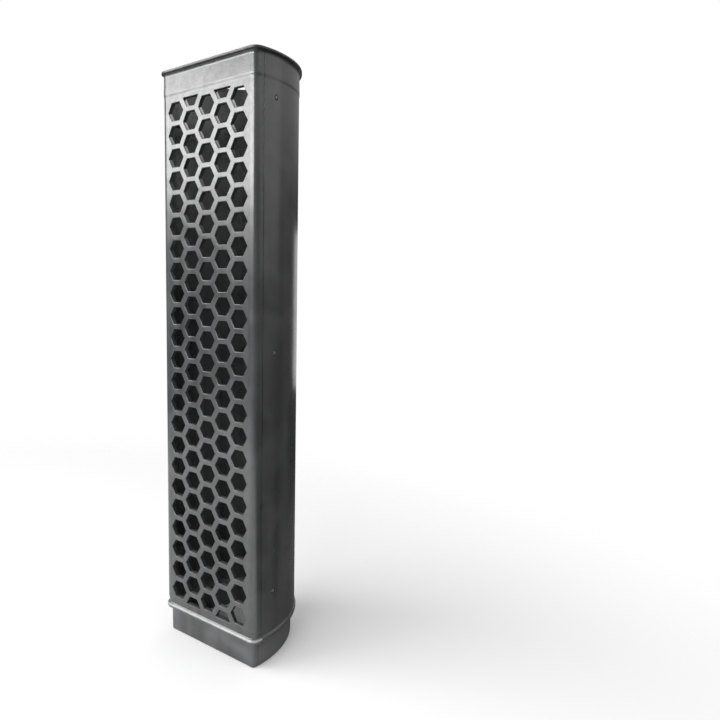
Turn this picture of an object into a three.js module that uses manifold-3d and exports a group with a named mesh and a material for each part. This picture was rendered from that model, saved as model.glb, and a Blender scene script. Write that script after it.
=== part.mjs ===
// A stackable plant support pole with a D-shaped section: a honeycomb front panel that snaps into a solid
// rear shell. Millimetres, +Z up. The pole stands on the end of its spigot with the honeycomb facing -Y, and
// the origin is at the middle of its box on the ground.

import * as THREE from 'three';
import { mergeVertices, toCreasedNormals } from 'three/addons/utils/BufferGeometryUtils.js';
import Module from 'manifold-3d';

const wasm = await Module();
wasm.setup();

// Driving dimensions of the honeycomb, which gets as many rows as the pole's height has room for
const poleHeight = 391;
const columnCount = 5;
const holeFlats = 11.6;
const holeWeb = 3.4;
const columnPitch = 13.6;
const holeChamfer = 0.5;
const faceMargin = 1.8;
const topMargin = 27.5;
const bottomMargin = 16;
const rowFitShare = 0.02;

// Driving dimensions of the section
const sectionDepth = 78;
const widestDepth = 18;
const sideSwell = 1.3;
const shellWall = 2;
const panelThickness = 3;
const seamDepth = 7;
const seamGap = 0.3;

// Spigot at the foot and socket at the head, which stack one pole on the next
const spigotLength = 17.5;
const spigotWall = 1.8;
const spigotClearance = 0.4;
const spigotTaper = 0.3;
const spigotInnerRadius = 0.5;
const leadIn = 0.6;
const socketSpare = 1;

// Base bead and the shallow groove above it
const beadHeight = 3.6;
const beadReach = 1;
const grooveHeight = 3.5;
const grooveDepth = 0.4;
const grooveFlank = 0.5;

// Collar and rim at the head
const rimThickness = 1.8;
const rimReach = 1.8;
const rimRound = 0.4;
const coveHeight = 2.6;
const bandHeight = 10.8;
const bandTopReach = 0.1;
const bandFootReach = 0.3;
const bandStep = 2;

// Locating lips and snap clips
const lipThickness = 1.2;
const lipReach = 3;
const lipClearance = 0.3;
const clipCount = 3;
const clipDrop = 27;
const clipRise = 49;
const clipWidth = 12;
const clipThickness = 1.5;
const clipTail = 4;
const studRadius = 1.5;
const studProud = 0.4;
const studDome = 0.6;
const studClearance = 0.3;

// Facets and one overrun for every cut
const cornerSegments = 6;
const sideSegments = 4;
const backSegments = 36;
const coveSegments = 4;
const beadSegments = 6;
const studSegments = 16;
const clipSegments = 4;
const overrun = 2;

// Sizes that follow
const rowsHeight = poleHeight - spigotLength - topMargin - bottomMargin;
const rowSteps = Math.max(Math.floor(rowsHeight / (holeFlats + holeWeb) + rowFitShare), 1);
const rowCount = rowSteps + 1;
const rowPitch = rowsHeight / rowSteps;
const holeRadius = holeFlats / 2 / Math.cos(Math.PI / 6);
const spigotInset = shellWall + spigotClearance;
const cornerRadius = spigotInset + spigotWall + spigotTaper + spigotInnerRadius;
const faceHalf = ((columnCount - 1) * columnPitch) / 2 + holeRadius + faceMargin;
const coreHalf = faceHalf + sideSwell;
const halfWidth = coreHalf + cornerRadius;
const coreFront = (widestDepth - cornerRadius) / Math.sqrt(1 - (faceHalf / coreHalf) ** 2);
const coreBack = sectionDepth - widestDepth - cornerRadius;
const faceY = -sectionDepth / 2;
const widestY = faceY + widestDepth;
const socketFloor = poleHeight - spigotLength - socketSpare;
const bodyFoot = spigotLength + beadHeight + grooveHeight + grooveFlank;

// A point of the section's side, where the angle runs from the widest line to the back, and is negative
// towards the face. The offset moves it square to the wall, outward if positive.
function sidePoint(angle, offset) {
  const reach = angle < 0 ? coreFront : coreBack;
  const normal = new THREE.Vector2(Math.cos(angle) / coreHalf, Math.sin(angle) / reach).normalize();
  const core = new THREE.Vector2(coreHalf * Math.cos(angle), widestY + reach * Math.sin(angle));
  return core.addScaledVector(normal, cornerRadius + offset);
}

// The side point at a given Y, found by halving the angle between the corner and the back
function sidePointAt(y, offset) {
  let low = -Math.acos(faceHalf / coreHalf);
  let high = Math.PI / 2;
  for (let step = 0; step < 40; step += 1) {
    const middle = (low + high) / 2;
    if (sidePoint(middle, offset).y < y) low = middle;
    else high = middle;
  }
  return sidePoint(low, offset);
}

// Half of the section from the middle of the back to the front corner, on the +X side
function halfSection(offset) {
  const points = [];
  for (let i = 0; i < backSegments / 2; i += 1) {
    points.push(sidePoint((Math.PI / 2) * (1 - i / (backSegments / 2)), offset));
  }
  const cornerAngle = -Math.acos(faceHalf / coreHalf);
  for (let i = 0; i < sideSegments; i += 1) {
    points.push(sidePoint((cornerAngle * i) / sideSegments, offset));
  }
  const corner = new THREE.Vector2(faceHalf, faceY + cornerRadius);
  const last = sidePoint(cornerAngle, offset).sub(corner).angle() - 2 * Math.PI;
  for (let i = 0; i <= cornerSegments; i += 1) {
    const turn = last + ((-Math.PI / 2 - last) * i) / cornerSegments;
    const radius = cornerRadius + offset;
    points.push(new THREE.Vector2(Math.cos(turn) * radius, Math.sin(turn) * radius).add(corner));
  }
  return points;
}

// The whole section outline, moved square to itself by an offset
function section(offset) {
  const right = halfSection(offset);
  const left = right.slice(1).reverse().map((p) => new THREE.Vector2(-p.x, p.y));
  return [...right, ...left];
}

// A closed solid through rings of as many points each, with flat ends
function loft(rings) {
  const count = rings[0].length;
  const positions = rings.flat().flatMap((p) => [p.x, p.y, p.z]);
  const indices = [];
  for (let ring = 0; ring + 1 < rings.length; ring += 1) {
    for (let i = 0; i < count; i += 1) {
      const a = ring * count + i;
      const b = ring * count + ((i + 1) % count);
      indices.push(a, b, b + count, a, b + count, a + count);
    }
  }
  const top = (rings.length - 1) * count;
  for (let i = 1; i + 1 < count; i += 1) {
    indices.push(0, i + 1, i, top, top + i, top + i + 1);
  }
  return orientedGeometry(positions, indices);
}

// A geometry whose faces point out, whichever way its rings ran
function orientedGeometry(positions, indices) {
  let volume = 0;
  const corner = (i) => new THREE.Vector3().fromArray(positions, 3 * i);
  for (let i = 0; i < indices.length; i += 3) {
    const [a, b, c] = [corner(indices[i]), corner(indices[i + 1]), corner(indices[i + 2])];
    volume += a.dot(b.cross(c));
  }
  const geometry = new THREE.BufferGeometry();
  geometry.setAttribute('position', new THREE.Float32BufferAttribute(positions, 3));
  geometry.setIndex(volume < 0 ? [...indices].reverse() : indices);
  return geometry;
}

// A solid for cutting and joining, from any closed geometry
function solidOf(geometry) {
  const bare = geometry.clone();
  bare.deleteAttribute('normal');
  bare.deleteAttribute('uv');
  const merged = mergeVertices(bare);
  return new wasm.Manifold(new wasm.Mesh({
    numProp: 3,
    vertProperties: new Float32Array(merged.attributes.position.array),
    triVerts: new Uint32Array(merged.index.array),
  }));
}

// The geometry of a finished solid
function geometryOf(solid) {
  const mesh = solid.getMesh();
  const geometry = new THREE.BufferGeometry();
  geometry.setAttribute('position', new THREE.Float32BufferAttribute(mesh.vertProperties, 3));
  geometry.setIndex([...mesh.triVerts]);
  return geometry;
}

// A box between two corners
function boxBetween(low, high) {
  const size = new THREE.Vector3().subVectors(high, low);
  const centre = new THREE.Vector3().addVectors(low, high).multiplyScalar(0.5);
  return solidOf(new THREE.BoxGeometry(size.x, size.y, size.z).translate(centre.x, centre.y, centre.z));
}

// The D-shaped solid whose wall follows a profile of [height, offset] pairs
function shapedColumn(profile) {
  return solidOf(loft(profile.map(([z, offset]) => section(offset).map((p) => new THREE.Vector3(p.x, p.y, z)))));
}

// Outside of the foot: spigot with its lead-in, ledge, rounded bead and groove
function footProfile() {
  const profile = [
    [0, -spigotInset - spigotTaper - leadIn],
    [leadIn, -spigotInset - spigotTaper],
    [spigotLength, -spigotInset],
  ];
  for (let i = 0; i <= beadSegments; i += 1) {
    const turn = (Math.PI * i) / beadSegments;
    const z = spigotLength + (beadHeight * (1 - Math.cos(turn))) / 2;
    profile.push([z, beadReach * Math.sin(turn)]);
  }
  const grooveFoot = spigotLength + beadHeight;
  profile.push([grooveFoot + grooveFlank, -grooveDepth]);
  profile.push([grooveFoot + grooveHeight, -grooveDepth]);
  profile.push([bodyFoot, 0]);
  return profile;
}

// Outside of the head: step, collar band that widens downward, hollow cove and rounded rim
function headProfile() {
  const rimFoot = poleHeight - rimThickness;
  const coveFoot = rimFoot - coveHeight;
  const bandFoot = coveFoot - bandHeight;
  const profile = [[bandFoot - bandStep, 0], [bandFoot, bandFootReach], [coveFoot, bandTopReach]];
  const coveReach = rimReach - rimRound - bandTopReach;
  for (let i = 1; i <= coveSegments; i += 1) {
    const turn = (Math.PI / 2) * (i / coveSegments);
    profile.push([coveFoot + coveHeight * Math.sin(turn), bandTopReach + coveReach * (1 - Math.cos(turn))]);
  }
  profile.push([rimFoot + rimRound, rimReach]);
  profile.push([poleHeight - rimRound, rimReach]);
  profile.push([poleHeight, rimReach - rimRound]);
  return profile;
}

// The inside, open at both ends: spigot bore, sloping shoulder and socket, less the thick honeycomb plate
function cavity() {
  const boreInset = spigotInset + spigotWall;
  const shoulderFoot = spigotLength + (boreInset - shellWall);
  const profile = [
    [-overrun, -boreInset - spigotTaper],
    [0, -boreInset - spigotTaper],
    [spigotLength, -boreInset],
    [shoulderFoot, -shellWall],
    [poleHeight + overrun, -shellWall],
  ];
  const plate = boxBetween(
    new THREE.Vector3(-halfWidth, faceY - overrun, spigotLength),
    new THREE.Vector3(halfWidth, faceY + panelThickness, socketFloor),
  );
  return shapedColumn(profile).subtract(plate);
}

// Everything in front of, or behind, a plane across the pole
function beforePlane(y) {
  const side = halfWidth + rimReach + overrun;
  return boxBetween(
    new THREE.Vector3(-side, faceY - rimReach - overrun, -overrun),
    new THREE.Vector3(side, y, poleHeight + overrun),
  );
}

// A convex outline with each edge moved outward by a distance
function grownOutline(points, distance) {
  return points.map((point, i) => {
    const before = points[(i + points.length - 1) % points.length];
    const after = points[(i + 1) % points.length];
    const inward = point.clone().sub(before).normalize();
    const outward = after.clone().sub(point).normalize();
    const first = new THREE.Vector2(inward.y, -inward.x);
    const second = new THREE.Vector2(outward.y, -outward.x);
    return point.clone().addScaledVector(first.clone().add(second), distance / (1 + first.dot(second)));
  });
}

// The cutter of one hole: an outline in X and Z with a chamfer at the face
function holeCutter(outline) {
  const levels = [
    [faceY - overrun, holeChamfer],
    [faceY, holeChamfer],
    [faceY + holeChamfer, 0],
    [faceY + panelThickness + overrun, 0],
  ];
  return loft(levels.map(([y, growth]) => grownOutline(outline, growth)
    .map((p) => new THREE.Vector3(p.x, y, p.y))));
}

// A hexagon with two flats level, or the lower or upper half of one
function hexagon(centreX, centreZ, part) {
  const points = [];
  for (let i = 0; i < 6; i += 1) {
    const turn = (Math.PI / 3) * i;
    const up = Math.sin(turn);
    const kept = part === 'whole' || i % 3 === 0 || (part === 'lower') === (up < 0);
    if (kept) {
      const z = i % 3 === 0 ? centreZ : centreZ + holeRadius * up;
      points.push(new THREE.Vector2(centreX + holeRadius * Math.cos(turn), z));
    }
  }
  return points;
}

// All the holes: odd columns hold whole hexagons, even ones stand half a row off and end in half hexagons
function holeOutlines() {
  const outlines = [];
  const firstZ = spigotLength + bottomMargin;
  for (let column = 0; column < columnCount; column += 1) {
    const x = (column - (columnCount - 1) / 2) * columnPitch;
    const staggered = column % 2 === 1;
    const wholeCount = staggered ? rowCount - 1 : rowCount;
    const startZ = staggered ? firstZ + rowPitch / 2 : firstZ;
    for (let row = 0; row < wholeCount; row += 1) {
      outlines.push(hexagon(x, startZ + row * rowPitch, 'whole'));
    }
    if (staggered) {
      outlines.push(hexagon(x, startZ - rowPitch, 'upper'));
      outlines.push(hexagon(x, startZ + wholeCount * rowPitch, 'lower'));
    }
  }
  return outlines;
}

// X of the lips' outer faces: just inside the mouth of the shell, so that the panel pulls straight out
const panelEdgeY = faceY + seamDepth - seamGap / 2;
const shellEdgeY = faceY + seamDepth + seamGap / 2;
const lipEndY = shellEdgeY + lipReach;
const lipX = sidePointAt(shellEdgeY, -shellWall).x - lipClearance;

// One locating lip with the root that joins it to the inside of the panel's corner
function lip(side) {
  const foot = bodyFoot;
  const head = socketFloor;
  const bladeY = faceY + panelThickness / 2;
  const rootY = faceY + (panelThickness + shellWall) / 2;
  const rootX = lipX + lipClearance + shellWall / 4;
  const blade = boxBetween(
    new THREE.Vector3(lipX - lipThickness, bladeY, foot),
    new THREE.Vector3(lipX, lipEndY, head),
  );
  const root = boxBetween(
    new THREE.Vector3(lipX - lipThickness, rootY, foot),
    new THREE.Vector3(rootX, panelEdgeY, head),
  );
  const both = blade.add(root);
  return side > 0 ? both : both.mirror([1, 0, 0]);
}

// The flat honeycomb front with its corners, its share of collar and foot, and two locating lips
function frontPanel(tube) {
  const holes = holeOutlines().map((outline) => solidOf(holeCutter(outline)));
  const body = tube.intersect(beforePlane(panelEdgeY)).add(lip(1)).add(lip(-1));
  return body.subtract(wasm.Manifold.union(holes));
}

// Heights of the clips, from the top one down to the lowest
function clipHeights() {
  const spacing = (poleHeight - clipDrop - clipRise) / Math.max(clipCount - 1, 1);
  return Array.from({ length: clipCount }, (_, i) => poleHeight - clipDrop - i * spacing);
}

// A short round bar along +X from one X to another, at the clips' depth and a given height
function crossBar(radius, fromX, toX, z) {
  return new THREE.CylinderGeometry(radius, radius, toX - fromX, studSegments)
    .rotateZ(Math.PI / 2)
    .translate((fromX + toX) / 2, widestY, z);
}

// The solid curved back with a round hole for each stud
function rearShell(tube) {
  let shell = tube.subtract(beforePlane(shellEdgeY));
  for (const z of clipHeights()) {
    const reach = halfWidth + overrun;
    const bar = solidOf(crossBar(studRadius + studClearance, lipX - clipThickness, reach, z));
    shell = shell.subtract(bar).subtract(bar.mirror([1, 0, 0]));
  }
  return shell;
}

// The spring arm of a clip, which follows the inside of the shell, drawn in X and Y
function clipArmShape() {
  const inset = shellWall + lipClearance;
  const tailY = widestY + studRadius + clipTail;
  const outer = [new THREE.Vector2(lipX, lipEndY)];
  const inner = [new THREE.Vector2(lipX - lipThickness, lipEndY)];
  for (let i = 1; i <= clipSegments; i += 1) {
    const y = lipEndY + ((tailY - lipEndY) * i) / clipSegments;
    outer.push(sidePointAt(y, -inset));
    inner.push(sidePointAt(y, -inset - clipThickness));
  }
  return new THREE.Shape([...outer, ...inner.reverse()]);
}

// The round stud of a clip, turned about its own axis, with a domed end just proud of the wall
function stud(z) {
  const rootX = halfWidth - shellWall - lipClearance - clipThickness / 2;
  const tipX = halfWidth + studProud;
  const profile = [
    new THREE.Vector2(0, 0),
    new THREE.Vector2(studRadius, 0),
    new THREE.Vector2(studRadius, tipX - rootX - studDome),
    new THREE.Vector2(studRadius * Math.cos(Math.PI / 4), tipX - rootX - studDome * (1 - Math.sin(Math.PI / 4))),
    new THREE.Vector2(0, tipX - rootX),
  ];
  return new THREE.LatheGeometry(profile, studSegments).rotateZ(-Math.PI / 2).translate(rootX, widestY, z);
}

// One snap clip on the +X side, mirrored for the other
function snapClip(side, z) {
  const arm = new THREE.ExtrudeGeometry(clipArmShape(), { depth: clipWidth, bevelEnabled: false, steps: 1 })
    .translate(0, 0, z - clipWidth / 2);
  const clip = solidOf(arm).add(solidOf(stud(z)));
  return side > 0 ? clip : clip.mirror([1, 0, 0]);
}

// A named mesh with its own material, shaded smooth except across real edges
function namedMesh(name, solid, finish) {
  const creaseAngle = Math.PI / 6;
  const mesh = new THREE.Mesh(toCreasedNormals(geometryOf(solid), creaseAngle), new THREE.MeshStandardMaterial(finish));
  mesh.name = name;
  return mesh;
}

const tube = shapedColumn([...footProfile(), ...headProfile()]).subtract(cavity());
const blackPlastic = { color: 0x242527, roughness: 0.32, metalness: 0 };
const group = new THREE.Group();
group.add(namedMesh('rear_shell', rearShell(tube), blackPlastic));
group.add(namedMesh('front_panel', frontPanel(tube), blackPlastic));
for (const [sideName, side] of [['left', -1], ['right', 1]]) {
  clipHeights().forEach((z, i) => {
    group.add(namedMesh(`snap_clip_${sideName}_${i + 1}`, snapClip(side, z), blackPlastic));
  });
}

export default group;
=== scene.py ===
import math

import bpy
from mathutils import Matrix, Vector


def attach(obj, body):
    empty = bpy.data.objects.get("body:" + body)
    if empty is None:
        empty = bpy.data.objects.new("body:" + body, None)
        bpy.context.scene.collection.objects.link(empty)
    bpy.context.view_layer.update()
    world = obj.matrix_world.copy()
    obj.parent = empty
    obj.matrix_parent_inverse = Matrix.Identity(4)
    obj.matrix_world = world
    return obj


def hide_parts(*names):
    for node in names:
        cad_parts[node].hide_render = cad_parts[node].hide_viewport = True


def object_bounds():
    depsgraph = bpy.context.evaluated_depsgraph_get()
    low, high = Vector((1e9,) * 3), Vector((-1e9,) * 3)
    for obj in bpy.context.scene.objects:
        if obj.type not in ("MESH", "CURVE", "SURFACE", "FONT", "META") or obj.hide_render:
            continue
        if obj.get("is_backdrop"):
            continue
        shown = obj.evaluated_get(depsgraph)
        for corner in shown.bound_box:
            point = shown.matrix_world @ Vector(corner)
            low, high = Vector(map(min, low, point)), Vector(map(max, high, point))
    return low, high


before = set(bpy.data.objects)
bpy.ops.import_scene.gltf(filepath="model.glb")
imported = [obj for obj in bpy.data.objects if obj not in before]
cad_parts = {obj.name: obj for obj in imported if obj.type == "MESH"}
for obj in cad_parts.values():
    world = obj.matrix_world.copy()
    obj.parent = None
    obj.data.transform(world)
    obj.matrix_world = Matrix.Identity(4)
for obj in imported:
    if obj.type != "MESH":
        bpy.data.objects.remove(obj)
cad_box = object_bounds()

# Everything is in metres, and sizes are written in millimetres
MM = 0.001

# Honeycomb
POLE_HEIGHT = 391 * MM
COLUMN_COUNT = 5
HOLE_FLATS = 11.6 * MM
HOLE_WEB = 3.4 * MM
COLUMN_PITCH = 13.6 * MM
HOLE_ROUND = 0.5 * MM
HALF_HOLE_FLARE_SHARE = 1.25
FACE_MARGIN = 1.8 * MM
TOP_MARGIN = 27.5 * MM
BOTTOM_MARGIN = 16 * MM
ROW_FIT_SHARE = 0.02

# Section
SECTION_DEPTH = 78 * MM
WIDEST_DEPTH = 18 * MM
SIDE_SWELL = 1.3 * MM
SHELL_WALL = 2 * MM
PANEL_THICKNESS = 3 * MM
SEAM_DEPTH = 7 * MM
SEAM_GAP = 0.3 * MM
SEAM_ROUND = 0.18 * MM

# Spigot and socket
SPIGOT_LENGTH = 17.5 * MM
SPIGOT_WALL = 1.8 * MM
SPIGOT_CLEARANCE = 0.4 * MM
SPIGOT_TAPER = 0.3 * MM
SPIGOT_INNER_RADIUS = 0.5 * MM
LEAD_IN = 0.6 * MM
SOCKET_SPARE = 1 * MM

# Base bead and groove
BEAD_HEIGHT = 3.6 * MM
BEAD_CREST_SHARE = 3 / 4
# Share of the bead's height that the painted highlight along its crest covers
BEAD_HIGHLIGHT_SHARE = 1 / 3
BEAD_REACH = 1 * MM
GROOVE_HEIGHT = 3.5 * MM
GROOVE_DEPTH = 0.4 * MM
GROOVE_FLANK = 0.5 * MM

# Collar and rim
RIM_THICKNESS = 1.8 * MM
RIM_REACH = 1.8 * MM
RIM_ROUND = 0.4 * MM
COVE_HEIGHT = 2.6 * MM
BAND_HEIGHT = 10.8 * MM
BAND_TOP_REACH = 0.1 * MM
BAND_FOOT_REACH = 0.3 * MM
BAND_STEP = 2 * MM
SOFT_ROUND = 0.25 * MM

# Locating lips and snap clips
LIP_THICKNESS = 1.2 * MM
LIP_REACH = 3 * MM
LIP_CLEARANCE = 0.3 * MM
CLIP_COUNT = 3
CLIP_DROP = 27 * MM
CLIP_RISE = 49 * MM
CLIP_THICKNESS = 1.5 * MM
STUD_RADIUS = 1.5 * MM
STUD_PROUD = 0.4 * MM
STUD_DOME = 0.6 * MM
STUD_CLEARANCE = 0.3 * MM

# How finely curves are divided, how far a cutter passes what it cuts, and the least sizes that still count
OUTLINE_STEPS = 160
CORNER_STEPS = 14
BEAD_STEPS = 12
COVE_STEPS = 8
HOLE_ROUND_STEPS = 3
RIM_ROUND_STEPS = 4
SOFT_ROUND_STEPS = 3
EDGE_ROUND_STEPS = 2
STUD_STEPS = 40
HALVINGS = 40
SMOOTH_ANGLE = math.radians(38)
OVERRUN = 2 * MM
CORE_NICK = 0.04 * MM
TINY = 0.001 * MM

# Sizes that follow
ROWS_HEIGHT = POLE_HEIGHT - SPIGOT_LENGTH - TOP_MARGIN - BOTTOM_MARGIN
ROW_STEPS = math.floor(ROWS_HEIGHT / (HOLE_FLATS + HOLE_WEB) + ROW_FIT_SHARE)
ROW_COUNT = ROW_STEPS + 1
ROW_PITCH = ROWS_HEIGHT / ROW_STEPS
HOLE_RADIUS = HOLE_FLATS / 2 / math.cos(math.pi / 6)
SPIGOT_INSET = SHELL_WALL + SPIGOT_CLEARANCE
CORNER_RADIUS = SPIGOT_INSET + SPIGOT_WALL + SPIGOT_TAPER + SPIGOT_INNER_RADIUS
FACE_HALF = (COLUMN_COUNT - 1) / 2 * COLUMN_PITCH + HOLE_RADIUS + FACE_MARGIN
CORE_HALF = FACE_HALF + SIDE_SWELL
HALF_WIDTH = CORE_HALF + CORNER_RADIUS
CORE_FRONT = (WIDEST_DEPTH - CORNER_RADIUS) / math.sqrt(1 - (FACE_HALF / CORE_HALF) ** 2)
CORE_BACK = SECTION_DEPTH - WIDEST_DEPTH - CORNER_RADIUS
FACE_Y = -SECTION_DEPTH / 2
WIDEST_Y = FACE_Y + WIDEST_DEPTH
SOCKET_FLOOR = POLE_HEIGHT - SPIGOT_LENGTH - SOCKET_SPARE
BODY_FOOT = SPIGOT_LENGTH + BEAD_HEIGHT + GROOVE_HEIGHT + GROOVE_FLANK
PANEL_EDGE_Y = FACE_Y + SEAM_DEPTH - SEAM_GAP / 2
SHELL_EDGE_Y = FACE_Y + SEAM_DEPTH + SEAM_GAP / 2
LIP_END_Y = SHELL_EDGE_Y + LIP_REACH
FIRST_ROW_Z = SPIGOT_LENGTH + BOTTOM_MARGIN
RIM_FOOT = POLE_HEIGHT - RIM_THICKNESS
COVE_FOOT = RIM_FOOT - COVE_HEIGHT
BAND_FOOT = COVE_FOOT - BAND_HEIGHT
BEAD_CREST = SPIGOT_LENGTH + BEAD_CREST_SHARE * BEAD_HEIGHT

# Bands of painted highlight along the bead's crest, the rim's top edge and the stud domes, and of painted
# shade in the cove under the rim: the axis that they lie across, their middle and how far they reach
BEAD_HIGHLIGHT_BAND = ("Z", BEAD_CREST, BEAD_HIGHLIGHT_SHARE * BEAD_HEIGHT)
RIM_GLINT_BAND = ("Z", POLE_HEIGHT, RIM_ROUND)
STUD_GLINT_BAND = ("X", HALF_WIDTH + STUD_PROUD, STUD_DOME / 2)
COVE_SHADE_BAND = ("Z", RIM_FOOT, RIM_THICKNESS)

# Finish of the plastic, with the colours of its painted highlights and painted shade
PLASTIC_IOR = 1.65
COAT_IOR = 1.7
COAT_ROUGHNESS = 0.2
SUNK_ROUGHNESS = 0.55
GLINT_BAND_ROUGHNESS = 0.12
DULL_ROUGHNESS = 0.6
SUNK_TINT_SHARE = 2
SPECKLE_TINT_SHARE = 1.35
SINK_DEPTH = 2.4 * MM
FLOW_DEPTH = 0.6 * MM
GRAIN_DEPTH = 0.1 * MM
DUST_COLOUR = (0.2, 0.195, 0.185)
# Painted highlight on the rim's top edge and on the stud domes
PAINTED_GLINT_COLOUR = (0.2, 0.2, 0.203)
# Painted highlight along the bead's crest: pale on the front panel, faint on the shell
PAINTED_BEAD_HIGHLIGHT = (0.5, 0.5, 0.505)
PAINTED_BEAD_HIGHLIGHT_FAINT = (0.075, 0.076, 0.078)
# Painted shade in the cove under the rim
PAINTED_COVE_SHADE = (0.01, 0.01, 0.011)

# Floor: its colour as the camera sees it, and behind and in front of the pole as it lights the pole
FLOOR_SIZE = 4000 * MM
FLOOR_MIDDLE = (-120 * MM, -250 * MM, 0)
FLOOR_SOLID = 350 * MM
FLOOR_END = 700 * MM
FLOOR_ROUGHNESS = 0.9
FLOOR_COLOUR = (0.9, 0.9, 0.9)
FLOOR_BEHIND = (0.12, 0.12, 0.12)
FLOOR_AHEAD = (0.62, 0.62, 0.62)

# Which way is ahead of the honeycomb for the light, and how softly ahead and behind meet on floor and walls
AHEAD = (-0.35, -0.94, 0)
FLOOR_BLEND = 50 * MM
WALL_BLEND_SHARE = 0.3

# Levels of light in times plain white, and the shares of straight up between which each wall grows light
LIGHTING = 0.5
DARK_WALL = 0.035
FRONT_WALL = 0.22
REAR_WALL = 0.26
FRONT_WALL_SHARES = (-0.2, 0.25)
REAR_WALL_SHARES = (0.08, 0.28)

# Lamps: azimuth and elevation in degrees, distance, width, height, level in times plain white, and the
# height on the pole's axis that each looks at
AIM_HEIGHT = 200 * MM
SOFTBOXES = {
    "key_softbox": (-43, 20.3, 1000 * MM, 500 * MM, 280 * MM, 5.6, AIM_HEIGHT),
    "bead_softbox": (-43, 38, 1000 * MM, 600 * MM, 60 * MM, 8.0, AIM_HEIGHT),
    "corner_softbox": (-2, 20.5, 1000 * MM, 900 * MM, 280 * MM, 8.2, AIM_HEIGHT),
    "head_softbox": (-43, 48, 1000 * MM, 600 * MM, 300 * MM, 5.1, AIM_HEIGHT),
    "side_softbox": (100, 42, 1000 * MM, 400 * MM, 140 * MM, 5.1, AIM_HEIGHT),
    "fill_softbox": (128, 16, 1100 * MM, 700 * MM, 500 * MM, 0.26, AIM_HEIGHT),
    "edge_softbox": (200, 0, 1000 * MM, 700 * MM, 350 * MM, 0.6, 180 * MM),
    "rear_softbox": (188, 50, 1000 * MM, 500 * MM, 400 * MM, 1.8, AIM_HEIGHT),
}

# Camera: lens and sensor in millimetres, shift as shares of the picture, pitch and turn in degrees
CAMERA_LENS = 31.7
CAMERA_SENSOR = 36
CAMERA_SHIFT_SHARES = (0.18, -0.03)
CAMERA_PLACE = (280 * MM, -344 * MM, 254.5 * MM)
CAMERA_PITCH = 5.5
CAMERA_TURN = 40.4


def deselect_all():
    bpy.ops.object.select_all(action="DESELECT")


def work_on(piece):
    deselect_all()
    piece.select_set(True)
    bpy.context.view_layer.objects.active = piece


def fresh(name):
    """Names the object just added and puts its place into its mesh."""
    piece = bpy.context.object
    piece.name = name
    piece.data.name = name
    bpy.ops.object.transform_apply(location=True, rotation=True, scale=True)
    return piece


def done():
    bpy.ops.object.mode_set(mode="OBJECT")


def choose(piece, kind, wanted):
    """Opens a piece in edit mode with only the corners, edges or faces that pass the test selected."""
    if bpy.context.mode != "OBJECT":
        done()
    work_on(piece)
    bpy.ops.object.mode_set(mode="EDIT")
    bpy.ops.mesh.select_mode(type=kind)
    bpy.ops.mesh.select_all(action="DESELECT")
    bpy.ops.object.mode_set(mode="OBJECT")
    mesh = piece.data
    if kind == "VERT":
        for corner in mesh.vertices:
            corner.select = wanted(corner.co)
    elif kind == "EDGE":
        for edge in mesh.edges:
            ends = [mesh.vertices[i].co for i in edge.vertices]
            edge.select = wanted(*ends)
    else:
        for face in mesh.polygons:
            face.select = wanted(face)
    bpy.ops.object.mode_set(mode="EDIT")


def apply_modifier(piece, kind, **settings):
    work_on(piece)
    bpy.ops.object.modifier_add(type=kind)
    modifier = piece.modifiers[-1]
    for key, value in settings.items():
        setattr(modifier, key, value)
    bpy.ops.object.modifier_apply(modifier=modifier.name)


def combine(piece, other, how):
    """Joins two closed pieces or cuts one with the other, and uses the second one up."""
    apply_modifier(piece, "BOOLEAN", operation=how, object=other, solver="EXACT")
    bpy.data.objects.remove(other)


def outward(piece):
    """Turns the faces of one closed shell out."""
    choose(piece, "FACE", lambda face: True)
    bpy.ops.mesh.normals_make_consistent(inside=False)
    done()


def drawn_line(name, places):
    """A line drawn by pulling one corner from place to place."""
    deselect_all()
    bpy.ops.mesh.primitive_plane_add(size=MM, location=places[0])
    line = fresh(name)
    choose(line, "VERT", lambda corner: True)
    bpy.ops.mesh.merge(type="CENTER")
    for start, end in zip(places, places[1:]):
        bpy.ops.mesh.extrude_region_move(TRANSFORM_OT_translate={"value": Vector(end) - Vector(start)})
    done()
    return line


def round_corners(line, places, radius, steps):
    """Rounds the corners of a drawn line that lie at these places."""
    choose(line, "VERT", lambda corner: any((corner - Vector(p)).length < TINY for p in places))
    bpy.ops.mesh.bevel(offset=radius, segments=steps, affect="VERTICES")
    done()


def as_curve(line):
    """Makes a drawn line a closed curve."""
    work_on(line)
    bpy.ops.object.convert(target="CURVE")
    curve = bpy.context.object
    for spline in curve.data.splines:
        spline.use_cyclic_u = True
    return curve


def core_line():
    """The closed line inside the wall that every outline of the section keeps a fixed distance from."""
    deselect_all()
    bpy.ops.mesh.primitive_circle_add(vertices=OUTLINE_STEPS, radius=CORE_HALF, location=(0, WIDEST_Y, 0))
    line = fresh("core_line")
    middle = (0, WIDEST_Y, 0)
    choose(line, "VERT", lambda corner: corner.y > WIDEST_Y + TINY)
    bpy.ops.transform.resize(value=(1, CORE_BACK / CORE_HALF, 1), center_override=middle)
    choose(line, "VERT", lambda corner: corner.y < WIDEST_Y - TINY)
    bpy.ops.transform.resize(value=(1, CORE_FRONT / CORE_HALF, 1), center_override=middle)
    front = FACE_Y + CORNER_RADIUS
    choose(line, "VERT", lambda corner: True)
    bpy.ops.mesh.bisect(plane_co=(0, front, 0), plane_no=(0, 1, 0), clear_inner=True, threshold=TINY)
    choose(line, "VERT", lambda corner: corner.y < front + TINY)
    bpy.ops.mesh.edge_face_add()
    bpy.ops.mesh.bevel(offset=CORE_NICK, segments=CORNER_STEPS, affect="VERTICES")
    done()
    return line


def from_core(profile):
    """The places of a profile as drawn flat, measured from the core line."""
    return [(CORNER_RADIUS + offset, z, 0) for offset, z in profile]


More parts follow.
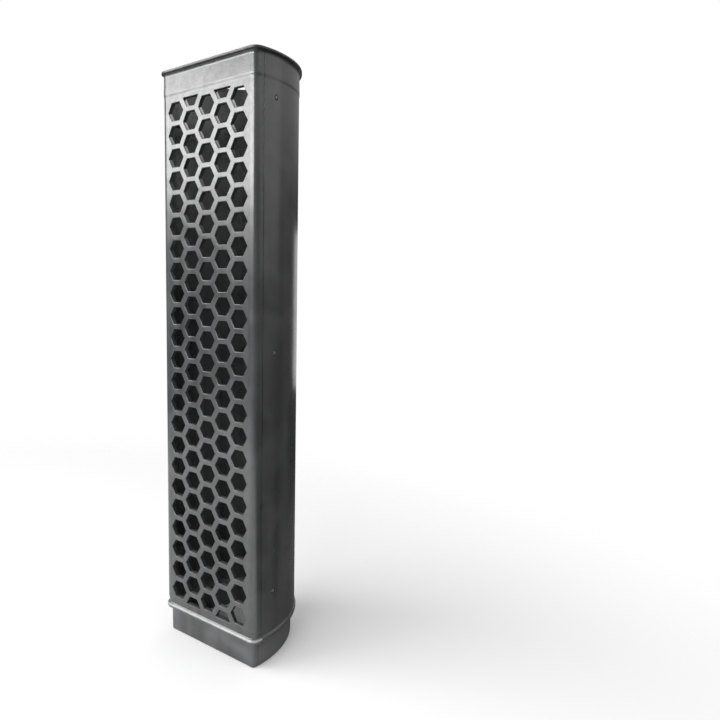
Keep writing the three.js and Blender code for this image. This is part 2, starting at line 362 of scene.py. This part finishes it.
def swept_wall(name, profile, rounds):
    """A closed wall whose profile, as (offset from the outline, height), goes round the core line."""
    line = drawn_line(name + "_profile", from_core(profile))
    for corners, radius, steps in rounds:
        round_corners(line, from_core(corners), radius, steps)
    drawn = as_curve(line)
    path = as_curve(core_line())
    path.data.twist_mode = "Z_UP"
    path.data.bevel_mode = "OBJECT"
    path.data.bevel_object = drawn
    bpy.ops.object.convert(target="MESH")
    wall = fresh(name)
    bpy.data.objects.remove(drawn)
    outward(wall)
    return wall


def quarter(centre, reach, rise, first, last, steps):
    """Places on part of an ellipse, from one angle to another, as (offset, height)."""
    turns = [first + (last - first) * i / steps for i in range(steps + 1)]
    return [(centre[0] + reach * math.cos(t), centre[1] + rise * math.sin(t)) for t in turns]


def pole_profile():
    """The wall from the middle of its inside down, under the spigot, up the outside and over the rim."""
    spigot_foot = -SPIGOT_INSET - SPIGOT_TAPER
    bore = -SPIGOT_INSET - SPIGOT_WALL
    bead_middle = (0, SPIGOT_LENGTH + BEAD_HEIGHT / 2)
    groove_foot = SPIGOT_LENGTH + BEAD_HEIGHT + GROOVE_FLANK
    groove_head = SPIGOT_LENGTH + BEAD_HEIGHT + GROOVE_HEIGHT
    cove_middle = (RIM_REACH - RIM_ROUND, COVE_FOOT)
    cove_reach = RIM_REACH - RIM_ROUND - BAND_TOP_REACH
    inside = [
        (-SHELL_WALL, POLE_HEIGHT / 2),
        (-SHELL_WALL, SPIGOT_LENGTH - bore - SHELL_WALL),
        (bore, SPIGOT_LENGTH),
        (bore - SPIGOT_TAPER, 0),
    ]
    foot = [(spigot_foot - LEAD_IN, 0), (spigot_foot, LEAD_IN), (-SPIGOT_INSET, SPIGOT_LENGTH)]
    foot_edges = [(spigot_foot, LEAD_IN), (spigot_foot - LEAD_IN, 0), (bore - SPIGOT_TAPER, 0)]
    bead = quarter(bead_middle, BEAD_REACH, BEAD_HEIGHT / 2, -math.pi / 2, math.pi / 2, BEAD_STEPS)
    groove = [(-GROOVE_DEPTH, groove_foot), (-GROOVE_DEPTH, groove_head), (0, BODY_FOOT)]
    band = [(0, BAND_FOOT - BAND_STEP), (BAND_FOOT_REACH, BAND_FOOT)]
    cove = quarter(cove_middle, cove_reach, COVE_HEIGHT, math.pi, math.pi / 2, COVE_STEPS)
    rim = [(RIM_REACH, RIM_FOOT), (RIM_REACH, POLE_HEIGHT), (-SHELL_WALL, POLE_HEIGHT)]
    rounds = [
        (rim[:2], RIM_ROUND, RIM_ROUND_STEPS),
        ([(BAND_FOOT_REACH, BAND_FOOT), (0, BAND_FOOT - BAND_STEP)], 2 * SOFT_ROUND, RIM_ROUND_STEPS),
        ([rim[2], (0, BODY_FOOT)], SOFT_ROUND, SOFT_ROUND_STEPS),
        ([(-GROOVE_DEPTH, groove_foot), (-GROOVE_DEPTH, groove_head)], SOFT_ROUND / 2, EDGE_ROUND_STEPS),
        (foot_edges, SOFT_ROUND, SOFT_ROUND_STEPS),
    ]
    return inside + foot + bead + groove + band + cove[:-1] + rim, rounds


def keep_side(piece, y, front):
    """Cuts a closed piece at a plane parallel to the face, keeps one side and closes the cut."""
    choose(piece, "FACE", lambda face: True)
    bpy.ops.mesh.bisect(
        plane_co=(0, y, 0), plane_no=(0, 1, 0), use_fill=True,
        clear_inner=not front, clear_outer=front, threshold=TINY,
    )
    done()


def soften_seam(piece, y):
    """Rounds the edges that lie in a plane parallel to the face."""
    choose(piece, "EDGE", lambda a, b: abs(a.y - y) < TINY and abs(b.y - y) < TINY)
    bpy.ops.mesh.bevel(offset=SEAM_ROUND, segments=EDGE_ROUND_STEPS, loop_slide=False, clamp_overlap=True)
    done()


def block(name, low, high, radius):
    """A block between two corners with rounded edges."""
    middle = [(a + b) / 2 for a, b in zip(low, high)]
    size = [b - a for a, b in zip(low, high)]
    deselect_all()
    bpy.ops.mesh.primitive_cube_add(size=1, location=middle, scale=size)
    piece = fresh(name)
    choose(piece, "EDGE", lambda a, b: True)
    bpy.ops.mesh.bevel(offset=radius, segments=EDGE_ROUND_STEPS)
    done()
    return piece


def pull_face(along, middle_z, wide_share, tall_share):
    """Pulls the selected face along Y and scales it about a level of its own."""
    bpy.ops.mesh.extrude_region_move(TRANSFORM_OT_translate={"value": (0, along, 0)})
    bpy.ops.transform.resize(value=(wide_share, 1, tall_share), center_override=(0, 0, middle_z))


def round_levels():
    """Depths behind the face and growths of a hole that round its edge, from the plain hole outwards."""
    turns = [math.pi / 2 * i / HOLE_ROUND_STEPS for i in range(1, HOLE_ROUND_STEPS + 1)]
    return [(HOLE_ROUND * (1 - math.sin(t)), HOLE_ROUND * (1 - math.cos(t))) for t in turns]


def hole_cutter(side):
    """A hexagonal cutter on the pole's axis, or half of one, flared where it leaves the face.

    Side is 1 for the upper half, -1 for the lower half and 0 for the whole hexagon.
    """
    tall = HOLE_FLATS / 2 if side == 0 else HOLE_FLATS / 4
    middle_z = side * tall
    flare_share = 1 if side == 0 else HALF_HOLE_FLARE_SHARE
    turns = range(6) if side == 0 else [turn if side > 0 else -turn for turn in range(4)]
    behind = FACE_Y + PANEL_THICKNESS + OVERRUN
    angles = [turn * math.pi / 3 for turn in turns]
    corners = [(HOLE_RADIUS * math.cos(angle), behind, HOLE_RADIUS * math.sin(angle)) for angle in angles]
    cutter = drawn_line("hole_cutter", corners)
    choose(cutter, "VERT", lambda corner: True)
    bpy.ops.mesh.edge_face_add()
    pull_face(FACE_Y + HOLE_ROUND - behind, middle_z, 1, 1)
    y, grown = FACE_Y + HOLE_ROUND, 0
    for depth, growth in round_levels():
        wide = (HOLE_FLATS / 2 + flare_share * growth) / (HOLE_FLATS / 2 + flare_share * grown)
        pull_face(FACE_Y + depth - y, middle_z, wide, (tall + growth) / (tall + grown))
        y, grown = FACE_Y + depth, growth
    pull_face(-OVERRUN, middle_z, 1, 1)
    done()
    outward(cutter)
    return cutter


def move_mesh(piece, move):
    choose(piece, "VERT", lambda corner: True)
    bpy.ops.transform.translate(value=move)
    done()


def repeat_upwards(piece, count):
    """Repeats a cutter up its column."""
    apply_modifier(
        piece, "ARRAY", count=count, use_relative_offset=False, use_constant_offset=True,
        constant_offset_displace=(0, 0, ROW_PITCH),
    )


def honeycomb_cutters():
    """The holes of each column in turn. Every second column is half a row off and ends in half holes."""
    first_x = -(COLUMN_COUNT - 1) / 2 * COLUMN_PITCH
    half_rows = [(1, -1 / 2), (-1, ROW_COUNT - 1 / 2)]
    for column in range(COLUMN_COUNT):
        x = first_x + column * COLUMN_PITCH
        odd = column % 2
        whole = hole_cutter(0)
        move_mesh(whole, (x, 0, FIRST_ROW_Z + odd * ROW_PITCH / 2))
        repeat_upwards(whole, ROW_COUNT - odd)
        yield whole
        for side, row in half_rows[:2 * odd]:
            half = hole_cutter(side)
            move_mesh(half, (x, 0, FIRST_ROW_Z + row * ROW_PITCH))
            yield half


def side_x(y, offset):
    """X of the section's side at a Y behind its corner, for an outline moved out by an offset."""
    low, high = -math.acos(FACE_HALF / CORE_HALF), math.pi / 2
    for _ in range(HALVINGS):
        angle = (low + high) / 2
        reach = CORE_FRONT if angle < 0 else CORE_BACK
        normal = Vector((math.cos(angle) / CORE_HALF, math.sin(angle) / reach)).normalized()
        place = Vector((CORE_HALF * math.cos(angle), WIDEST_Y + reach * math.sin(angle)))
        place += normal * (CORNER_RADIUS + offset)
        if place.y < y:
            low = angle
        else:
            high = angle
    return place.x


# The outer side of the lips, which clears the shell's inside at its mouth
LIP_X = side_x(SHELL_EDGE_Y, -SHELL_WALL) - LIP_CLEARANCE


def mirrored(piece):
    """A copy of a piece on the other side of the pole."""
    work_on(piece)
    bpy.ops.object.duplicate()
    other = bpy.context.object
    choose(other, "VERT", lambda corner: True)
    bpy.ops.transform.resize(value=(-1, 1, 1), center_override=(0, 0, 0))
    bpy.ops.mesh.flip_normals()
    done()
    return other


def locating_lip():
    """The lip inside the shell's mouth on the +X side, with the root that joins it to the corner."""
    inner_x = LIP_X - LIP_THICKNESS
    root_x = LIP_X + LIP_CLEARANCE + SHELL_WALL / 4
    root_y = FACE_Y + (PANEL_THICKNESS + SHELL_WALL) / 2
    blade_low = (inner_x, FACE_Y + PANEL_THICKNESS / 2, BODY_FOOT)
    blade = block("lip", blade_low, (LIP_X, LIP_END_Y, SOCKET_FLOOR), SOFT_ROUND)
    root_high = (root_x, PANEL_EDGE_Y, SOCKET_FLOOR)
    root = block("lip_root", (inner_x, root_y, BODY_FOOT), root_high, SOFT_ROUND / 4)
    combine(blade, root, "UNION")
    return blade


def honeycomb_plate():
    """The extra thickness behind the face, let into the wall all round."""
    half = FACE_HALF + CORNER_RADIUS - SHELL_WALL
    low = (-half, FACE_Y + PANEL_THICKNESS / 2, SPIGOT_LENGTH + LEAD_IN)
    return block("plate", low, (half, FACE_Y + PANEL_THICKNESS, SOCKET_FLOOR), SOFT_ROUND / 4)


def smooth_finish(piece):
    """Shades a piece smooth across its rounds, and keeps its flat faces flat."""
    work_on(piece)
    bpy.ops.object.shade_smooth_by_angle(angle=SMOOTH_ANGLE)
    apply_modifier(piece, "WEIGHTED_NORMAL", keep_sharp=True, weight=100)


def front_panel_piece():
    """The honeycomb front with its corners, up to the seam, and its two lips."""
    profile, rounds = pole_profile()
    panel = swept_wall("honeycomb_front", profile, rounds)
    keep_side(panel, PANEL_EDGE_Y, True)
    soften_seam(panel, PANEL_EDGE_Y)
    combine(panel, honeycomb_plate(), "UNION")
    lip = locating_lip()
    combine(panel, mirrored(lip), "UNION")
    combine(panel, lip, "UNION")
    for cutter in honeycomb_cutters():
        combine(panel, cutter, "DIFFERENCE")
    smooth_finish(panel)
    return panel


def clip_heights():
    """The heights of the studs, from the top one down."""
    spacing = (POLE_HEIGHT - CLIP_DROP - CLIP_RISE) / (CLIP_COUNT - 1)
    return [POLE_HEIGHT - CLIP_DROP - i * spacing for i in range(CLIP_COUNT)]


def stud_hole_cutter(z):
    """A round bar through one side of the shell."""
    inner = LIP_X - CLIP_THICKNESS
    outer = HALF_WIDTH + OVERRUN
    radius = STUD_RADIUS + STUD_CLEARANCE
    middle = ((inner + outer) / 2, WIDEST_Y, z)
    deselect_all()
    bpy.ops.mesh.primitive_cylinder_add(
        vertices=STUD_STEPS, radius=radius, depth=outer - inner, location=middle,
        rotation=(0, math.pi / 2, 0),
    )
    return fresh("stud_hole_cutter")


def rear_shell_piece():
    """The curved back and sides behind the seam, with a hole for each stud."""
    profile, rounds = pole_profile()
    shell = swept_wall("curved_shell", profile, rounds)
    keep_side(shell, SHELL_EDGE_Y, False)
    soften_seam(shell, SHELL_EDGE_Y)
    for z in clip_heights():
        cutter = stud_hole_cutter(z)
        combine(shell, mirrored(cutter), "DIFFERENCE")
        combine(shell, cutter, "DIFFERENCE")
    smooth_finish(shell)
    return shell


def feed(tree, socket, value):
    """Sets a socket to a number or colour, or links it to an output."""
    if isinstance(value, bpy.types.NodeSocket):
        tree.links.new(value, socket)
    else:
        socket.default_value = value


def noise(tree, vector, **settings):
    """A noise texture over these coordinates. The settings are its sockets."""
    texture = tree.nodes.new("ShaderNodeTexNoise")
    feed(tree, texture.inputs["Vector"], vector)
    for name, value in settings.items():
        feed(tree, texture.inputs[name], value)
    return texture.outputs["Fac"]


def ramp(tree, value, low, high, start=0.0, end=1.0, soft=False):
    """A value that goes from start to end while another goes from low to high."""
    node = tree.nodes.new("ShaderNodeMapRange")
    if soft:
        node.interpolation_type = "SMOOTHSTEP"
    settings = {"Value": value, "From Min": low, "From Max": high, "To Min": start, "To Max": end}
    for name, setting in settings.items():
        feed(tree, node.inputs[name], setting)
    return node.outputs["Result"]


def number_from(tree, operation, *values):
    """The number that an operation makes from one or two numbers."""
    node = tree.nodes.new("ShaderNodeMath")
    node.operation = operation
    for socket, value in zip(node.inputs, values):
        feed(tree, socket, value)
    return node.outputs["Value"]


def vector_node(tree, operation, *vectors):
    """The node of an operation on one or two vectors."""
    node = tree.nodes.new("ShaderNodeVectorMath")
    node.operation = operation
    for socket, vector in zip(node.inputs, vectors):
        feed(tree, socket, vector)
    return node


def part_of(tree, vector, axis):
    """One of the three numbers of a vector."""
    split = tree.nodes.new("ShaderNodeSeparateXYZ")
    feed(tree, split.inputs["Vector"], vector)
    return split.outputs[axis]


def new_group(name, numbers, results):
    """An empty shader node group that takes coordinates and numbers, and gives results, all by name."""
    group = bpy.data.node_groups.new(name, "ShaderNodeTree")
    group.interface.new_socket(name="Vector", in_out="INPUT", socket_type="NodeSocketVector")
    for label, number in numbers.items():
        socket = group.interface.new_socket(name=label, in_out="INPUT", socket_type="NodeSocketFloat")
        socket.default_value = number
    for label in results:
        group.interface.new_socket(name=label, in_out="OUTPUT", socket_type="NodeSocketFloat")
    given = group.nodes.new("NodeGroupInput").outputs
    result = group.nodes.new("NodeGroupOutput").inputs
    return group, given, result


def mould_grain_group():
    """Fine moulded grain: a height for a bump and a speckle mask."""
    group, given, result = new_group("mould_grain", {"Scale": 1500.0}, ["Height", "Speckle"])
    fine = noise(group, given["Vector"], Scale=given["Scale"], Detail=3.0)
    feed(group, result["Height"], fine)
    feed(group, result["Speckle"], ramp(group, fine, low=0.55, high=0.78))
    return group


def gloss_mottle_group():
    """Patches a few millimetres wide where the skin is less glossy: a mask, the same in all directions."""
    group, given, result = new_group("gloss_mottle", {"Scale": 240.0, "Amount": 1.0}, ["Mask"])
    cloud = noise(group, given["Vector"], Scale=given["Scale"], Detail=4.0, Roughness=0.6, Distortion=0.4)
    feed(group, result["Mask"], ramp(group, cloud, low=0.42, high=0.62, end=given["Amount"]))
    return group


def flow_marks_group():
    """Long soft waves down the pole, as thin moulded walls have: a height and a tone mask."""
    group, given, result = new_group("flow_marks", {"Scale": 60.0, "Length": 0.025}, ["Height", "Tone"])
    squeeze = group.nodes.new("ShaderNodeCombineXYZ")
    feed(group, squeeze.inputs["X"], 1.0)
    feed(group, squeeze.inputs["Y"], 1.0)
    feed(group, squeeze.inputs["Z"], given["Length"])
    stretched = vector_node(group, "MULTIPLY", given["Vector"], squeeze.outputs["Vector"])
    waves = noise(group, stretched.outputs["Vector"], Scale=given["Scale"], Detail=1.0, Roughness=0.4)
    feed(group, result["Height"], waves)
    feed(group, result["Tone"], ramp(group, waves, low=0.35, high=0.68))
    return group


def sink_marks_group():
    """Broad shallow waves, strongest on the thin spigot, as a wall has that cooled unevenly."""
    group, given, result = new_group("sink_marks", {"Scale": 45.0, "Body Share": 0.3}, ["Height", "Tone"])
    above = part_of(group, given["Vector"], "Z")
    bead_top = SPIGOT_LENGTH + BEAD_HEIGHT
    strength = ramp(group, above, low=SPIGOT_LENGTH, high=bead_top, start=1.0, end=given["Body Share"])
    waves = noise(group, given["Vector"], Scale=given["Scale"], Detail=1.0, Distortion=0.6)
    patches = ramp(group, waves, low=0.42, high=0.68)
    feed(group, result["Height"], number_from(group, "MULTIPLY", waves, strength))
    feed(group, result["Tone"], number_from(group, "MULTIPLY", patches, strength))
    return group


def settled_dust_group():
    """Thin dust on what faces up, broken up by noise: a mask."""
    group, given, result = new_group("settled_dust", {"Amount": 0.3}, ["Mask"])
    face = group.nodes.new("ShaderNodeNewGeometry")
    upward = ramp(group, part_of(group, face.outputs["Normal"], "Z"), low=0.55, high=0.95)
    specks = noise(group, given["Vector"], Scale=600.0, Detail=4.0)
    broken = ramp(group, specks, low=0.4, high=0.65)
    both = number_from(group, "MULTIPLY", upward, broken)
    feed(group, result["Mask"], number_from(group, "MULTIPLY", both, given["Amount"]))
    return group


def painted_light_band_group():
    """A broken band about a place along one axis, such as the painted highlight along the bead's crest: a
    mask.
    """
    numbers = {"Place": 0.0, "Middle": 0.0, "Reach": MM}
    group, given, result = new_group("painted_light_band", numbers, ["Mask"])
    away = number_from(group, "ABSOLUTE", number_from(group, "SUBTRACT", given["Place"], given["Middle"]))
    near = ramp(group, away, low=0.0, high=given["Reach"], start=1.0, end=0.0, soft=True)
    band_breakup = noise(group, given["Vector"], Scale=220.0, Detail=3.0)
    broken = ramp(group, band_breakup, low=0.3, high=0.6, start=0.75, end=1.0)
    feed(group, result["Mask"], number_from(group, "MULTIPLY", near, broken))
    return group


def floor_edge_group():
    """How much of the floor is there: all of it near the middle, none of it far out."""
    numbers = {"Inner": FLOOR_SOLID, "Outer": FLOOR_END}
    group, given, result = new_group("floor_edge", numbers, ["Cover"])
    away = vector_node(group, "LENGTH", given["Vector"]).outputs["Value"]
    cover = ramp(group, away, low=given["Inner"], high=given["Outer"], start=1.0, end=0.0, soft=True)
    feed(group, result["Cover"], cover)
    return group


def placed(tree, group, vector, **numbers):
    """The results of a shader group that is placed in a material with numbers of its own."""
    node = tree.nodes.new("ShaderNodeGroup")
    node.node_tree = group
    feed(tree, node.inputs["Vector"], vector)
    for name, number in numbers.items():
        feed(tree, node.inputs[name], number)
    return node.outputs


def bump(tree, height, strength, depth, below=None):
    """A bump from a height, on top of another bump if there is one."""
    node = tree.nodes.new("ShaderNodeBump")
    feed(tree, node.inputs["Strength"], strength)
    feed(tree, node.inputs["Distance"], depth)
    feed(tree, node.inputs["Height"], height)
    if below:
        feed(tree, node.inputs["Normal"], below)
    return node.outputs["Normal"]


def between(tree, factor, first, second):
    """A value that goes from the first to the second by a mask."""
    mix = tree.nodes.new("ShaderNodeMix")
    for name, value in (("Factor", factor), ("A", first), ("B", second)):
        feed(tree, mix.inputs[name], value)
    return mix.outputs["Result"]


def blended(tree, factor, first, second):
    """A colour that goes from the first to the second by a mask."""
    mix = tree.nodes.new("ShaderNodeMix")
    mix.data_type = "RGBA"
    feed(tree, mix.inputs["Factor"], factor)
    for name, colour in (("A", first), ("B", second)):
        feed(tree, mix.inputs[name], colour if isinstance(colour, bpy.types.NodeSocket) else (*colour, 1))
    return mix.outputs["Result"]


def band_mask(tree, groups, coordinates, axis, middle, reach):
    """The mask of a band that lies across one axis, the same on both sides of the pole."""
    mirrored_sides = vector_node(tree, "ABSOLUTE", coordinates).outputs["Vector"]
    along = part_of(tree, mirrored_sides, axis)
    return placed(tree, groups["light_band"], coordinates, Place=along, Middle=middle, Reach=reach)["Mask"]


def new_material(name):
    """A material with its node tree and its shader."""
    material = bpy.data.materials.new(name)
    material.use_nodes = True
    return material, material.node_tree, material.node_tree.nodes["Principled BSDF"]


def object_coordinates(tree):
    return tree.nodes.new("ShaderNodeTexCoord").outputs["Object"]


def tinted(colour, share):
    return [share * part for part in colour]


def plastic(name, groups, colour, pale, matt, bands, mottling, flow, grain):
    """Moulded black plastic with grain, flow and sink marks, mottled gloss, bands of painted highlight and
    painted shade, and a little dust.

    Matt is the roughness of its dark and of its pale streaks. Each of the bands is a band with its colour,
    roughness and coat weight. Flow and grain are the (scale, strength) of their marks.
    """
    material, tree, shader = new_material(name)
    coordinates = object_coordinates(tree)
    grains = placed(tree, groups["grain"], coordinates, Scale=grain[0])
    flows = placed(tree, groups["flow"], coordinates, Scale=flow[0])
    sinks = placed(tree, groups["sink"], coordinates)
    dust = placed(tree, groups["dust"], coordinates)["Mask"]
    mottle = placed(tree, groups["mottle"], coordinates, Amount=mottling)["Mask"]

    skin = blended(tree, flows["Tone"], colour, pale)
    skin = blended(tree, sinks["Tone"], skin, tinted(pale, SUNK_TINT_SHARE))
    skin = blended(tree, grains["Speckle"], skin, tinted(pale, SPECKLE_TINT_SHARE))
    rough = ramp(tree, flows["Tone"], low=0.0, high=1.0, start=matt[0], end=matt[1])
    rough = between(tree, sinks["Tone"], rough, SUNK_ROUGHNESS)
    coat = between(tree, mottle, 1.0, 0.0)
    # The bands paint highlights and shade into the colour, and set their own roughness and coat weight
    for band, tint, roughness, weight in bands:
        mask = band_mask(tree, groups, coordinates, *band)
        skin = blended(tree, mask, skin, tint)
        rough = between(tree, mask, rough, roughness)
        coat = between(tree, mask, coat, weight)

    normal = bump(tree, sinks["Height"], 1.0, SINK_DEPTH)
    normal = bump(tree, flows["Height"], flow[1], FLOW_DEPTH, normal)
    normal = bump(tree, grains["Height"], grain[1], GRAIN_DEPTH, normal)
    settings = {
        "IOR": PLASTIC_IOR, "Coat IOR": COAT_IOR, "Coat Roughness": COAT_ROUGHNESS, "Coat Weight": coat,
        "Base Color": blended(tree, dust, skin, DUST_COLOUR),
        "Roughness": number_from(tree, "ADD", rough, dust),
        "Normal": normal,
    }
    for socket, value in settings.items():
        feed(tree, shader.inputs[socket], value)
    return material


def dress(piece, material):
    piece.data.materials.clear()
    piece.data.materials.append(material)


def camera():
    """The three-quarter view of the photograph."""
    sight = bpy.data.cameras.new("camera")
    sight.lens = CAMERA_LENS
    sight.sensor_width = CAMERA_SENSOR
    sight.shift_x, sight.shift_y = CAMERA_SHIFT_SHARES
    holder = bpy.data.objects.new("camera", sight)
    bpy.context.scene.collection.objects.link(holder)
    holder.location = CAMERA_PLACE
    holder.rotation_euler = (math.pi / 2 - math.radians(CAMERA_PITCH), 0, math.radians(CAMERA_TURN))
    bpy.context.scene.camera = holder


def softbox(name, azimuth, elevation, distance, width, height, level, aim_height):
    """A rectangular soft lamp that looks at the pole's axis. Its level is in times plain white."""
    lamp = bpy.data.lights.new(name, "AREA")
    lamp.shape = "RECTANGLE"
    lamp.size = width
    lamp.size_y = height
    lamp.energy = level * math.pi * width * height
    holder = bpy.data.objects.new(name, lamp)
    bpy.context.scene.collection.objects.link(holder)
    turn, rise = math.radians(azimuth), math.radians(elevation)
    back = Vector((math.sin(turn) * math.cos(rise), -math.cos(turn) * math.cos(rise), math.sin(rise)))
    holder.location = Vector((0, 0, aim_height)) + back * distance
    holder.rotation_euler = back.to_track_quat("Z", "Y").to_euler()


def in_front(tree, vector, blend):
    """How far a place or a direction lies ahead of the honeycomb: from 0 behind to 1 ahead."""
    forward = vector_node(tree, "DOT_PRODUCT", vector, AHEAD).outputs["Value"]
    return ramp(tree, forward, low=-blend, high=blend, soft=True)


def wall_level(tree, rise, shares, light):
    """The level of a studio wall that goes from dark at its foot to light at its head."""
    return ramp(tree, rise, low=shares[0], high=shares[1], start=DARK_WALL, end=light, soft=True)


def studio_world():
    """White where the camera sees it, a plain level of light, and in gloss walls that are dark low down."""
    world = bpy.data.worlds.new("studio")
    bpy.context.scene.world = world
    world.use_nodes = True
    tree = world.node_tree
    tree.nodes.clear()
    ray = tree.nodes.new("ShaderNodeLightPath").outputs
    direction = tree.nodes.new("ShaderNodeTexCoord").outputs["Generated"]
    rise = part_of(tree, direction, "Z")
    front_wall = wall_level(tree, rise, FRONT_WALL_SHARES, FRONT_WALL)
    rear_wall = wall_level(tree, rise, REAR_WALL_SHARES, REAR_WALL)
    walls = between(tree, in_front(tree, direction, WALL_BLEND_SHARE), rear_wall, front_wall)
    level = between(tree, ray["Is Glossy Ray"], LIGHTING, walls)
    seen = number_from(tree, "MAXIMUM", ray["Is Camera Ray"], ray["Is Transmission Ray"])
    light = tree.nodes.new("ShaderNodeBackground")
    feed(tree, light.inputs["Color"], (1, 1, 1, 1))
    feed(tree, light.inputs["Strength"], between(tree, seen, level, 1.0))
    leave = tree.nodes.new("ShaderNodeOutputWorld")
    feed(tree, leave.inputs["Surface"], light.outputs["Background"])


def pale_floor(edge_group):
    """A matt floor that fades out far from the pole and keeps its shadow."""
    deselect_all()
    bpy.ops.mesh.primitive_plane_add(size=FLOOR_SIZE, location=(0, 0, 0))
    floor = fresh("floor")
    material, tree, shader = new_material("pale_floor")
    ray = tree.nodes.new("ShaderNodeLightPath").outputs
    coordinates = object_coordinates(tree)
    card = blended(tree, in_front(tree, coordinates, FLOOR_BLEND), FLOOR_BEHIND, FLOOR_AHEAD)
    from_middle = vector_node(tree, "SUBTRACT", coordinates, FLOOR_MIDDLE).outputs["Vector"]
    settings = {
        "Roughness": FLOOR_ROUGHNESS, "Specular IOR Level": 0.0,
        "Base Color": blended(tree, ray["Is Camera Ray"], card, FLOOR_COLOUR),
        "Alpha": placed(tree, edge_group, from_middle)["Cover"],
    }
    for socket, value in settings.items():
        feed(tree, shader.inputs[socket], value)
    dress(floor, material)
    floor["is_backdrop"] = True


bpy.context.scene.view_settings.view_transform = "Standard"
camera()
groups = {
    "grain": mould_grain_group(),
    "flow": flow_marks_group(),
    "sink": sink_marks_group(),
    "dust": settled_dust_group(),
    "light_band": painted_light_band_group(),
    "mottle": gloss_mottle_group(),
}
# Painted highlight along the rim's top edge
rim_painted_glint = (RIM_GLINT_BAND, PAINTED_GLINT_COLOUR, GLINT_BAND_ROUGHNESS, 1.0)
# Painted shade in the cove under the rim, with a rougher skin and no coat
cove_painted_shade = (COVE_SHADE_BAND, PAINTED_COVE_SHADE, DULL_ROUGHNESS, 0.0)
# The panel's plastic is a little lighter and the shell's darker: painted light on one plastic, lighter on
# the lit face and darker on the shaded shell
panel_plastic = plastic(
    "honeycomb_front_plastic", groups, colour=(0.026, 0.027, 0.029), pale=(0.05, 0.051, 0.053),
    matt=(0.28, 0.38), mottling=0.28, flow=(160.0, 0.12), grain=(800.0, 0.3),
    # Painted highlight along the bead's crest and the rim's top edge, painted shade in the cove under the
    # rim
    bands=[(BEAD_HIGHLIGHT_BAND, PAINTED_BEAD_HIGHLIGHT, GLINT_BAND_ROUGHNESS, 1.0), rim_painted_glint, cove_painted_shade],
)
shell_plastic = plastic(
    "curved_shell_plastic", groups, colour=(0.017, 0.0175, 0.019), pale=(0.055, 0.056, 0.058),
    matt=(0.2, 0.36), mottling=0.15, flow=(70.0, 0.25), grain=(1100.0, 0.2),
    # Painted highlight along the bead's crest and the rim's top edge, painted shade in the cove under the
    # rim
    bands=[(BEAD_HIGHLIGHT_BAND, PAINTED_BEAD_HIGHLIGHT_FAINT, GLINT_BAND_ROUGHNESS, 1.0), rim_painted_glint, cove_painted_shade],
)
clip_plastic = plastic(
    "clip_plastic", groups, colour=(0.028, 0.029, 0.031), pale=(0.05, 0.051, 0.053),
    matt=(0.18, 0.26), mottling=0.15, flow=(120.0, 0.1), grain=(1100.0, 0.15),
    # Painted glint on the stud domes, painted shade in the cove under the rim
    bands=[(STUD_GLINT_BAND, PAINTED_GLINT_COLOUR, GLINT_BAND_ROUGHNESS, 1.0), cove_painted_shade],
)

panel = front_panel_piece()
dress(panel, panel_plastic)
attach(panel, "panel")
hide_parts("front_panel")

shell = rear_shell_piece()
dress(shell, shell_plastic)
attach(shell, "shell")
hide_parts("rear_shell")

for name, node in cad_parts.items():
    if name.startswith("snap_clip"):
        dress(node, clip_plastic)

pale_floor(floor_edge_group())
studio_world()
for name, setting in SOFTBOXES.items():
    softbox(name, *setting)

boxes = {"cad": cad_box, "visual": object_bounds()}
{key: [list(corner) for corner in value] for key, value in boxes.items()}
